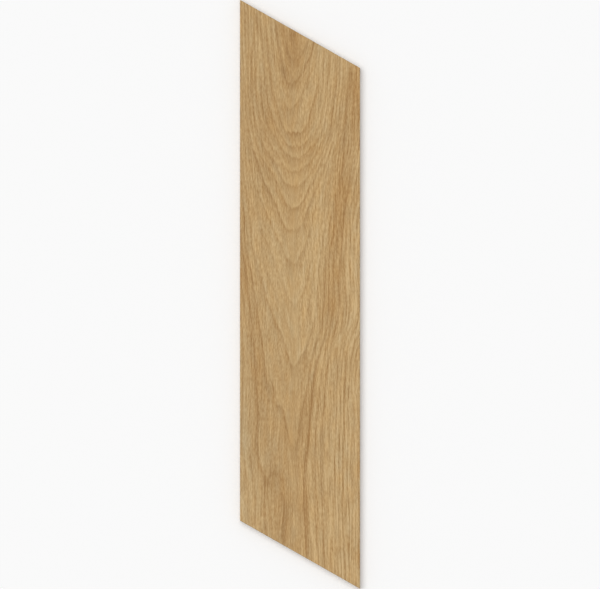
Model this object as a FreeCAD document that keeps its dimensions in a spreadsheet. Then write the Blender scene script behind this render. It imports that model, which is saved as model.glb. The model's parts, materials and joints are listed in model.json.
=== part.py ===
import FreeCAD, Part
import math
import os

import PartDesign
import Sketcher

# A porcelain chevron tile: one plank with parallel long sides and both ends cut to the
# same slant, so that left-hand and right-hand planks meet in a row of points.
# Face up, keyed back on z = 0, long sides along Y, origin in the middle of the back.

NODE = "chevron_tile"

# Driving sizes, in millimetres and degrees. The recesses fill what the plain border
# and the ribs leave, so they keep to the tile when its sizes change.
SIZES = {
    "tile_width": 110.0,  # square across the two long sides
    "tile_length": 540.0,  # from tip to tip, along the long sides
    "tile_thickness": 10.0,
    "end_angle": 29.6,  # slant of both ends, away from a square cut
    "face_bevel": 0.5,  # micro-bevel round the ground edges of the face
    "key_columns": 3,  # recesses across the back
    "key_rows": 14,  # recesses along the back
    "key_border": 9.0,  # plain band round the recesses
    "key_rib": 4.0,  # rib left between two recesses
    "key_corner": 2.0,  # corner radius of a recess
    "key_depth": 0.6,
    "key_draft": 45.0,  # slope of a recess's walls
}

# Sizes that follow from them, as expressions on the sheet.
SLOPE = "tan(Sizes.end_angle)"
SKEW = "cos(Sizes.end_angle)"
COLUMNS = "round(Sizes.key_columns)"
ROWS = "round(Sizes.key_rows)"
LONG_SIDE = f"(Sizes.tile_length - Sizes.tile_width * {SLOPE})"
PLAIN_ACROSS = f"(2 * Sizes.key_border + ({COLUMNS} - 1) * Sizes.key_rib)"
PLAIN_ALONG = f"(2 * Sizes.key_border + ({ROWS} - 1) * Sizes.key_rib)"
CELL_ACROSS = f"((Sizes.tile_width - {PLAIN_ACROSS}) / {COLUMNS})"
CELL_ALONG = f"(({LONG_SIDE} - {PLAIN_ALONG} / {SKEW}) / {ROWS})"
PITCH_ACROSS = f"({CELL_ACROSS} + Sizes.key_rib)"
PITCH_ALONG = f"({CELL_ALONG} + Sizes.key_rib / {SKEW})"
FIRST_LEFT = f"(({COLUMNS} - 1) / 2 * {PITCH_ACROSS})"
FIRST_DOWN = f"(({ROWS} - 1) / 2 * {PITCH_ALONG} - {FIRST_LEFT} * {SLOPE})"

LEFT, BOTTOM, RIGHT, TOP = range(4)  # the four sides, anticlockwise
ORIGIN = (-1, 1)  # a sketch's own origin point
TOUCHING = 1e-6  # closer than this, two heights are the same


def size_sheet(doc):
    """The driving sizes, one alias to a row."""
    sheet = doc.addObject("Spreadsheet::Sheet", "Sizes")
    for row, (name, value) in enumerate(SIZES.items(), start=1):
        sheet.set(f"A{row}", name)
        sheet.set(f"B{row}", str(value))
        sheet.setAlias(f"B{row}", name)
    doc.recompute()
    return sheet


def sketch_on_back(body, name):
    """A sketch on the plane of the tile's back."""
    plane = next(f for f in body.Origin.OriginFeatures if f.Role == "XY_Plane")
    sketch = body.newObject("Sketcher::SketchObject", name)
    sketch.AttachmentSupport = [(plane, "")]
    sketch.MapMode = "FlatFace"
    return sketch


def drive(sketch, name, constraint, expression):
    """Add a named constraint whose value comes from the sheet."""
    index = sketch.addConstraint(constraint)
    sketch.renameConstraint(index, name)
    sketch.setExpression(f"Constraints.{name}", expression)


def slanted_corners(width, length, slope):
    """Corners of an upright parallelogram about the origin, anticlockwise from top left."""
    x = width / 2
    tip = length / 2
    heel = tip - width * slope
    corners = [(-x, tip), (-x, -heel), (x, -tip), (x, heel)]
    return [FreeCAD.Vector(a, b, 0) for a, b in corners]


def slant_the_ends(sketch):
    """Upright left and right sides, and two parallel ends at the tile's slant."""
    sketch.addConstraint(Sketcher.Constraint("Vertical", LEFT))
    sketch.addConstraint(Sketcher.Constraint("Vertical", RIGHT))
    sketch.addConstraint(Sketcher.Constraint("Parallel", BOTTOM, TOP))
    slant = Sketcher.Constraint("Angle", BOTTOM, -math.radians(SIZES["end_angle"]))
    drive(sketch, "slant", slant, "-Sizes.end_angle")


def outline(body):
    """The plank's outline: two upright sides and two parallel slanted ends."""
    sketch = sketch_on_back(body, "Outline")
    width = SIZES["tile_width"]
    length = SIZES["tile_length"]
    slope = math.tan(math.radians(SIZES["end_angle"]))
    corners = slanted_corners(width, length, slope)
    for start, end in zip(corners, corners[1:] + corners[:1]):
        sketch.addGeometry(Part.LineSegment(start, end), False)
    for side in range(4):
        sketch.addConstraint(Sketcher.Constraint("Coincident", side, 2, (side + 1) % 4, 1))
    slant_the_ends(sketch)
    sketch.addConstraint(Sketcher.Constraint("Symmetric", LEFT, 1, RIGHT, 1, *ORIGIN))
    across = Sketcher.Constraint("DistanceX", BOTTOM, 1, BOTTOM, 2, width)
    drive(sketch, "across", across, "Sizes.tile_width")
    tip_to_tip = Sketcher.Constraint("DistanceY", RIGHT, 1, LEFT, 1, length)
    drive(sketch, "tip_to_tip", tip_to_tip, "Sizes.tile_length")
    return sketch


def rounded(corners, radius):
    """Lines and corner arcs of an anticlockwise outline: line i leaves corner i."""
    starts, ends, arcs = [], [], []
    for i, corner in enumerate(corners):
        back = (corners[i - 1] - corner).normalize()
        on = (corners[(i + 1) % len(corners)] - corner).normalize()
        half = back.getAngle(on) / 2
        ends.append(corner + back * (radius / math.tan(half)))
        starts.append(corner + on * (radius / math.tan(half)))
        centre = corner + (back + on).normalize() * (radius / math.sin(half))
        middle = centre + (corner - centre).normalize() * radius
        arcs.append(Part.Arc(ends[i], middle, starts[i]))
    lines = [Part.LineSegment(starts[i], ends[(i + 1) % len(ends)]) for i in range(len(ends))]
    return lines, arcs


def key_cell(body):
    """The first recess of the back, at its lower left, with rounded corners."""
    sketch = sketch_on_back(body, "KeyCell")
    slope = math.tan(math.radians(SIZES["end_angle"]))
    columns, rows = SIZES["key_columns"], SIZES["key_rows"]
    width = SIZES["tile_width"] / columns - SIZES["key_rib"]
    length = SIZES["tile_length"] / rows - SIZES["key_rib"]
    middle = FreeCAD.Vector(-SIZES["tile_width"] / 3, -SIZES["tile_length"] / 3, 0)
    corners = [middle + c for c in slanted_corners(width, length + width * slope, slope)]
    lines, arcs = rounded(corners, SIZES["key_corner"])
    for edge in lines + arcs:
        sketch.addGeometry(edge, False)
    arc = [len(lines) + i for i in range(len(arcs))]
    for i in range(len(lines)):
        sketch.addConstraint(Sketcher.Constraint("Tangent", (i - 1) % 4, 2, arc[i], 1))
        sketch.addConstraint(Sketcher.Constraint("Tangent", arc[i], 2, i, 1))
    for other in arc[1:]:
        sketch.addConstraint(Sketcher.Constraint("Equal", arc[0], other))
    slant_the_ends(sketch)
    centre = sketch.addGeometry(Part.Point(middle), True)
    sketch.addConstraint(Sketcher.Constraint("Symmetric", arc[0], 3, arc[2], 3, centre, 1))
    corner = Sketcher.Constraint("Radius", arc[0], SIZES["key_corner"])
    drive(sketch, "corner", corner, "Sizes.key_corner")
    across = Sketcher.Constraint("DistanceX", LEFT, 1, RIGHT, 1, width)
    drive(sketch, "across", across, CELL_ACROSS)
    along = Sketcher.Constraint("Distance", BOTTOM, 1, TOP, length)
    drive(sketch, "along", along, f"{CELL_ALONG} * {SKEW}")
    left = Sketcher.Constraint("DistanceX", centre, 1, *ORIGIN, -middle.x)
    drive(sketch, "left", left, FIRST_LEFT)
    down = Sketcher.Constraint("DistanceY", centre, 1, *ORIGIN, -middle.y)
    drive(sketch, "down", down, FIRST_DOWN)
    return sketch


def plank(body, profile):
    """The plank with its micro-bevelled face."""
    pad = body.newObject("PartDesign::Pad", "Plank")
    pad.Profile = profile
    pad.setExpression("Length", "Sizes.tile_thickness")
    body.Document.recompute()
    top = pad.Shape.BoundBox.ZMax
    face_edges = [
        f"Edge{i}"
        for i, edge in enumerate(pad.Shape.Edges, start=1)
        if all(abs(v.Point.z - top) < TOUCHING for v in edge.Vertexes)
    ]
    bevel = body.newObject("PartDesign::Chamfer", "FaceBevel")
    bevel.Base = (pad, face_edges)
    bevel.setExpression("Size", "Sizes.face_bevel")
    body.Document.recompute()
    return bevel


def keyed_back(body, profile):
    """Shallow drafted recesses over the back, in rows that follow the slanted ends."""
    recess = body.newObject("PartDesign::Pocket", "KeyRecess")
    recess.Profile = key_cell(body)
    recess.Reversed = True
    recess.setExpression("Length", "Sizes.key_depth")
    recess.setExpression("TaperAngle", "-Sizes.key_draft")
    body.Document.recompute()
    keys = body.newObject("PartDesign::LinearPattern", "Keys")
    keys.Originals = [recess]
    keys.Direction = (profile, [f"Edge{BOTTOM + 1}"])
    keys.setExpression("Length", f"2 * {FIRST_LEFT} / {SKEW}")
    keys.setExpression("Occurrences", COLUMNS)
    keys.Direction2 = (profile, ["V_Axis"])
    keys.setExpression("Length2", f"({ROWS} - 1) * {PITCH_ALONG}")
    keys.setExpression("Occurrences2", ROWS)
    body.Tip = keys
    body.Document.recompute()
    return keys


def check(doc, body, blank):
    """Stop if any object failed, the body isn't one sound solid, or the back isn't cut."""
    for item in doc.Objects:
        if "Invalid" in item.State or "Error" in item.State:
            raise SystemExit(f"{item.Label} failed: {item.State}")
    shape = body.Shape
    if shape.isNull() or not shape.isValid() or len(shape.Solids) != 1:
        raise SystemExit(f"{body.Label} isn't one valid solid")
    if shape.Volume >= blank.Shape.Volume:
        raise SystemExit("the recesses cut nothing out of the back")


doc = FreeCAD.newDocument("ChevronTile")
size_sheet(doc)
tile = doc.addObject("PartDesign::Body", "Tile")
tile.Label = NODE
tile.Placement = FreeCAD.Placement()
profile = outline(tile)
blank = plank(tile, profile)
keyed_back(tile, profile)
check(doc, tile, blank)
box = tile.Shape.BoundBox
size = f"{box.XLength:.2f} x {box.YLength:.2f} x {box.ZLength:.2f} mm"
print(f"{NODE}: {size}, {tile.Shape.Volume / 1000:.1f} cm3")
os.makedirs("parts", exist_ok=True)
tile.Shape.exportStep(f"parts/{NODE}.step")
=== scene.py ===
import json
import math

import bmesh
import bpy
import numpy as np
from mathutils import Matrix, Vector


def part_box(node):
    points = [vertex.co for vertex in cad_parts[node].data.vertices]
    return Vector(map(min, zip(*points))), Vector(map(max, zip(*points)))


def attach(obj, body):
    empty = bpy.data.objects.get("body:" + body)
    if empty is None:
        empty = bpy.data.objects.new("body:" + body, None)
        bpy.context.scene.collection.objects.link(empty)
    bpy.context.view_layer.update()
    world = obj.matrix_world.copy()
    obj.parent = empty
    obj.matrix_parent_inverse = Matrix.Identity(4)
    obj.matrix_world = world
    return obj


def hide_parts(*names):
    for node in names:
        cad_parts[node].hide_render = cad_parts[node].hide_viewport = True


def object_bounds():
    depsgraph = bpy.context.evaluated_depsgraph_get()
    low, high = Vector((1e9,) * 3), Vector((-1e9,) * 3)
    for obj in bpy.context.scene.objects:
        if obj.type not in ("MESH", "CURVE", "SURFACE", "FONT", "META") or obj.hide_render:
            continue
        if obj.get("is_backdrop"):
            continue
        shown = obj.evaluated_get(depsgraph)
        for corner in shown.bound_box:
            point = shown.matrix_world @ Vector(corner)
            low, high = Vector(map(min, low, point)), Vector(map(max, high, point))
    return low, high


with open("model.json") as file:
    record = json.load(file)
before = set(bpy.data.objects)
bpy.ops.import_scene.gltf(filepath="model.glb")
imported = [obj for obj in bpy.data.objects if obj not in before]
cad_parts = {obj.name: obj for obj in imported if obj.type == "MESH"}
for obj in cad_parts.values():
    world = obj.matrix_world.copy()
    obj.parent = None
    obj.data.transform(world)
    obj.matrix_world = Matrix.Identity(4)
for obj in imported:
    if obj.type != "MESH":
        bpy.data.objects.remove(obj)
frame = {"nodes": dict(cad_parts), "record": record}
CAD_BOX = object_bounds()

# A chevron tile lying face up: one porcelain plank with a printed oak face, a micro-bevel
# round it, ground edges of bare fired body and a keyed back. Metres, degrees, +Z up.
NODE = "chevron_tile"
MM = 0.001
LOW, HIGH = (np.array(corner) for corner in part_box(NODE))
WIDTH, LENGTH, THICKNESS = HIGH - LOW
MITRE = next(mount for mount in frame["record"]["mounts"] if mount["name"] == "upper_mitre")
SLANT = MITRE["axis"][0] / MITRE["axis"][1]  # how far the ends drop for each metre along +X
BEVEL = 0.5 * MM
BEVEL_UNEVEN = 0.06 * MM
RELIEF = 0.09 * MM  # depth of the pressed grain below the top of the face
PRESSED_BY_TONE = 0.2  # share of that depth that one step of the print's tone presses
BACK_DEPTH = 0.7 * MM  # the keyed back lies within this height
SEAM = 0.001 * MM  # points of the back and the sides closer than this are one
SHARP_ANGLE = 35
FACE_COLUMNS = 200  # squares of the face mesh across the tile
FACE_ROWS = 420  # and along it

# The print is drawn in steps, 120 across and 589 along: x to the right of the left side,
# y down from the upper tip. All the lists below give their places in these steps.
STEPS_LONG = 589
STEP = LENGTH / STEPS_LONG
STEPS_WIDE = WIDTH / STEP

# Growth lines: the ring's number, counted outwards, and points given along the line
GROWTH_LINES = [
    (1, (46, 38), (47.5, 48), (50, 57), (54, 59.5), (59, 57), (63, 50), (66, 42)),
    (2, (35.5, 20), (38.3, 43), (41.5, 58), (44, 70), (48.5, 82), (54, 82), (60, 76), (65.8, 64),
        (70.8, 52), (73.5, 40)),
    (3, (31, 18), (34, 55), (38, 78), (43, 97), (48, 107), (53, 108), (58, 101), (63, 89), (69, 74),
        (76, 48)),
    (4, (25, 14), (28, 50), (29.6, 70), (32.5, 88), (35.8, 98), (38.5, 110), (42, 123), (46, 131),
        (52, 133), (58, 133), (64, 130), (68.5, 121), (70, 112), (72.5, 103), (76.5, 84), (82, 56)),
    (5, (20, 12), (25, 75), (26.7, 92), (31.3, 110), (36.7, 127), (41, 136), (46, 143), (52, 146),
        (60, 146), (67, 141.5), (72.5, 136), (78, 127), (83, 108), (86.5, 85), (89, 56)),
    (6, (16.5, 12), (19, 60), (21.3, 90), (24.2, 112), (27.5, 122), (31, 130), (35, 137), (39.5, 145),
        (45, 152.5), (50, 156), (57.5, 157), (64.5, 154), (71, 147.5), (78, 139.5), (84, 126), (88, 108),
        (91, 85), (93, 60)),
    (7, (14, 30), (15.5, 80), (18, 105), (22, 122), (27.8, 138), (32.2, 147), (37, 154), (41, 161),
        (45, 167.5), (49.5, 171.5), (60, 171), (65.6, 166), (71, 160), (77.8, 151), (84, 140), (88, 125),
        (91.5, 105), (94.4, 66)),
    (8, (11.5, 20), (11.5, 85), (15, 117), (19, 134), (26.5, 150), (33.3, 161.5), (38, 171), (44, 182),
        (50, 185), (57, 185.5), (63, 182), (69, 174), (76.7, 163), (85, 147), (88.8, 138), (92, 118),
        (93.8, 104), (95.4, 88), (96.3, 62)),
    (9, (8.5, 20), (10, 105), (15.6, 138), (19.4, 152), (26.7, 164), (33.3, 175), (37.8, 185), (44.4, 200),
        (49, 206.5), (57, 206.5), (61, 203), (65, 198), (70.8, 184), (75, 177), (79.2, 166), (85, 154),
        (89.2, 142), (93.5, 125), (97, 100), (99.5, 66)),
    (10, (5, 8), (6, 60), (7.2, 121), (10.6, 137), (12.8, 147), (16.1, 158), (20.6, 172), (27.8, 188),
        (33.3, 197), (36.7, 203), (39.4, 213), (43.3, 223), (46, 228), (50, 229.5), (55.5, 229), (60, 226),
        (64.5, 217), (68.5, 208), (73.3, 196), (76.7, 188), (80.8, 178), (85, 166.5), (90, 153), (94, 141),
        (98, 120), (101, 95), (102.5, 68)),
    (11, (2, 30), (3.5, 110), (8, 155), (13, 177), (18.3, 192), (25.6, 210), (30, 218), (34.4, 228),
        (38, 237), (42.2, 246.5), (46.5, 256), (51, 262), (56, 262.5), (60.5, 254), (66.5, 240), (70, 230),
        (73.3, 216), (77.5, 202), (81.7, 188), (85.8, 175), (90, 162), (94.2, 150), (98, 136), (101.5, 120),
        (103.8, 95), (105.5, 70)),
    (12, (1.5, 100), (4.7, 145), (9.5, 175), (16, 200), (19.5, 217), (23, 232), (29, 246), (35, 260),
        (38.5, 270), (43, 281), (47.5, 295), (52, 301.5), (57, 302), (62, 293), (67, 278), (70.5, 263),
        (73.3, 246), (76.7, 226), (80, 210), (85, 196), (88.3, 182), (92.5, 166), (96.7, 154), (101, 138),
        (104, 120), (106, 95), (108, 72)),
    (13, (3, 145), (6.5, 175), (11.5, 200), (14.5, 222), (18.5, 240), (23.5, 258), (28.5, 274), (35, 289),
        (42, 306), (48, 324), (54, 338), (60, 330), (66, 312), (71, 292), (74, 272), (77.5, 250), (80, 232),
        (83, 216), (87, 201), (91, 187), (95, 171), (99, 158)),
    (14, (1.7, 145), (3.9, 175), (5.6, 188), (7.8, 200), (9.4, 213), (11, 227), (12.8, 245), (15.8, 256),
        (19.2, 270), (22.5, 278), (25, 288), (27.5, 298), (31.3, 307), (35, 319), (40, 332), (45, 344),
        (49.2, 358), (52, 364.5), (56, 365), (60, 356), (65, 350), (68, 341), (71.5, 331), (73.8, 320),
        (75.5, 304), (77.2, 284), (80, 262), (83.5, 234), (88.5, 206), (91.5, 192), (97.5, 168),
        (100.8, 156), (103.3, 144), (105, 130), (106.7, 114), (107.9, 100), (110.3, 68)),
    (15, (1.2, 175), (2.2, 195), (4.4, 220), (5, 236), (8.3, 254), (10.4, 268), (13.8, 284), (15.4, 298),
        (17.9, 314), (20, 328), (22, 340), (24.6, 354), (27, 374), (31.5, 386), (34.2, 396), (37, 406),
        (42, 408.5), (45, 419), (47, 431), (50, 441), (54, 443), (57, 438), (58.8, 425), (61, 412),
        (63.3, 402), (66.5, 388), (69.5, 372), (72, 358), (75.5, 346), (80, 328), (82.5, 316), (84.3, 300),
        (84.4, 280), (85.5, 262), (87, 245), (89.5, 226), (92.5, 208), (97.9, 188), (101, 176),
        (104.2, 162), (107, 152), (110, 138), (112, 120), (113.5, 100), (115.8, 72)),
    (15, (28, 492), (28.8, 483), (30.4, 477.5), (33.3, 474.5), (37, 475.5), (39.6, 480), (41.2, 489),
        (42.5, 498), (44.6, 506), (44.3, 518), (43, 529), (42, 544)),
    (14.8, (33, 496), (34.5, 515), (35, 541)),
    (16, (0.8, 230), (4.2, 260), (6.3, 274), (7.9, 292), (10, 308), (11.3, 322), (13.8, 340), (15.4, 356),
        (17, 376), (18, 396), (19.2, 412), (19, 430), (18.7, 444), (19.8, 457), (22, 466), (24.3, 475),
        (26, 487), (25.6, 505), (25.6, 520), (26.9, 533)),
    (16, (118.5, 85), (116.5, 110), (114.5, 130), (111.5, 148), (108, 160), (104.5, 172), (101.5, 184),
        (99.4, 198), (96.7, 210), (95, 224), (93, 235), (91, 246), (89.3, 258), (89, 272), (89.2, 292),
        (87.9, 312), (86.3, 327), (84, 337), (81.8, 344), (79.6, 352), (76.8, 361), (74.4, 373),
        (73.1, 383), (71.2, 400), (69.5, 415), (67.5, 439), (65.4, 451), (63.2, 463), (61.8, 480),
        (61.8, 500), (62.4, 512), (63.8, 526), (65, 540), (65.8, 556)),
    (17, (1, 285), (4, 306), (5.2, 325), (6.5, 345), (8.3, 364), (10, 384), (10.8, 412), (9.5, 432),
        (8.6, 449), (10.8, 464), (12.9, 478), (15.4, 490), (16.7, 506), (16.5, 526)),
    (17, (119, 115), (117, 140), (113, 156), (108.6, 170), (105.3, 186), (102, 202), (100, 214),
        (98.4, 226), (96.8, 238), (95, 250), (93.7, 262), (93.4, 280), (93.2, 298), (91.8, 314),
        (90.2, 324), (88.3, 334), (86, 345), (83.5, 358), (81.7, 371), (80, 388), (78, 404), (76.2, 420),
        (75, 438), (74.3, 455), (73.7, 470), (74.3, 490), (74.4, 508), (75, 524), (75.9, 538), (77.5, 560)),
    (18, (1, 320), (2.6, 340), (3.4, 365), (3.8, 400), (2, 430), (2.8, 452), (5, 466), (7.4, 484),
        (8.3, 504), (8.8, 524)),
    (18, (119.6, 135), (115.5, 153), (111, 167), (108.5, 186), (106.7, 198), (104.6, 208), (103.3, 220),
        (102.5, 236), (101.7, 248), (100.2, 260), (99, 275), (99.2, 292), (98.5, 306), (97, 319),
        (95.7, 326), (93.3, 334), (91.2, 342), (89.5, 352), (87.5, 364), (85.8, 378), (85, 392),
        (84.2, 406), (82.5, 420), (80.3, 444), (80.9, 460), (81.1, 476), (80.5, 490), (81.4, 506),
        (81.9, 522), (82.8, 545), (83.6, 564)),
    (19, (119.3, 165), (114.5, 190), (110, 210), (107, 232), (105.4, 255), (104.8, 280), (104.4, 300),
        (103, 318), (99.3, 336), (95.3, 350), (92.3, 366), (90.8, 380), (89.9, 395), (89.4, 412),
        (88.8, 436), (87.9, 460), (88.2, 486), (88.8, 520), (90.5, 568)),
    (20, (119, 190), (115.5, 207), (112.5, 225), (110.7, 245), (110.2, 270), (110.4, 295), (109.5, 312),
        (106.5, 329), (102.5, 344), (98.5, 360), (97, 372), (96.6, 390), (96.4, 412), (95, 432),
        (94.3, 452), (94.2, 466), (94.7, 482), (95.2, 515), (96.5, 545), (98, 572)),
    (21, (119, 212), (116, 235), (114, 255), (113.2, 275), (113.7, 296), (113.2, 315), (110, 327),
        (106, 338), (102.8, 353), (101, 366), (100.1, 382), (100, 410), (99.7, 430), (98.8, 447),
        (98.5, 466), (98.7, 500), (99.5, 540), (101, 576)),
    (22, (119.5, 235), (118, 255), (117.3, 275), (118.3, 298), (117, 321), (112.5, 332), (109, 342),
        (106.6, 352), (105.2, 366), (104.4, 382), (103.4, 402), (103.9, 425), (103.1, 445), (102.9, 470),
        (102.4, 498), (103, 525), (103.4, 548), (105.3, 578)),
    (23, (119.5, 332), (115.6, 340), (113, 350.5), (110.8, 361.5), (109.4, 375), (108.3, 395), (108.6, 425),
        (107.9, 445), (107.5, 480), (108.6, 515), (108.4, 538), (109.5, 578)),
    (24, (119.5, 343), (116.5, 352), (113.8, 361), (111.8, 374), (110.9, 388), (111, 420), (110.9, 455),
        (110.6, 480), (111.3, 530), (112.5, 580)),
    (25, (119.5, 355), (117, 364), (115, 378), (114, 395), (114.4, 430), (114.2, 480), (115, 540),
        (116, 582)),
    (26, (119.5, 370), (118, 392), (117.7, 440), (117.5, 480), (118.2, 540), (118.8, 584)),
]
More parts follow.
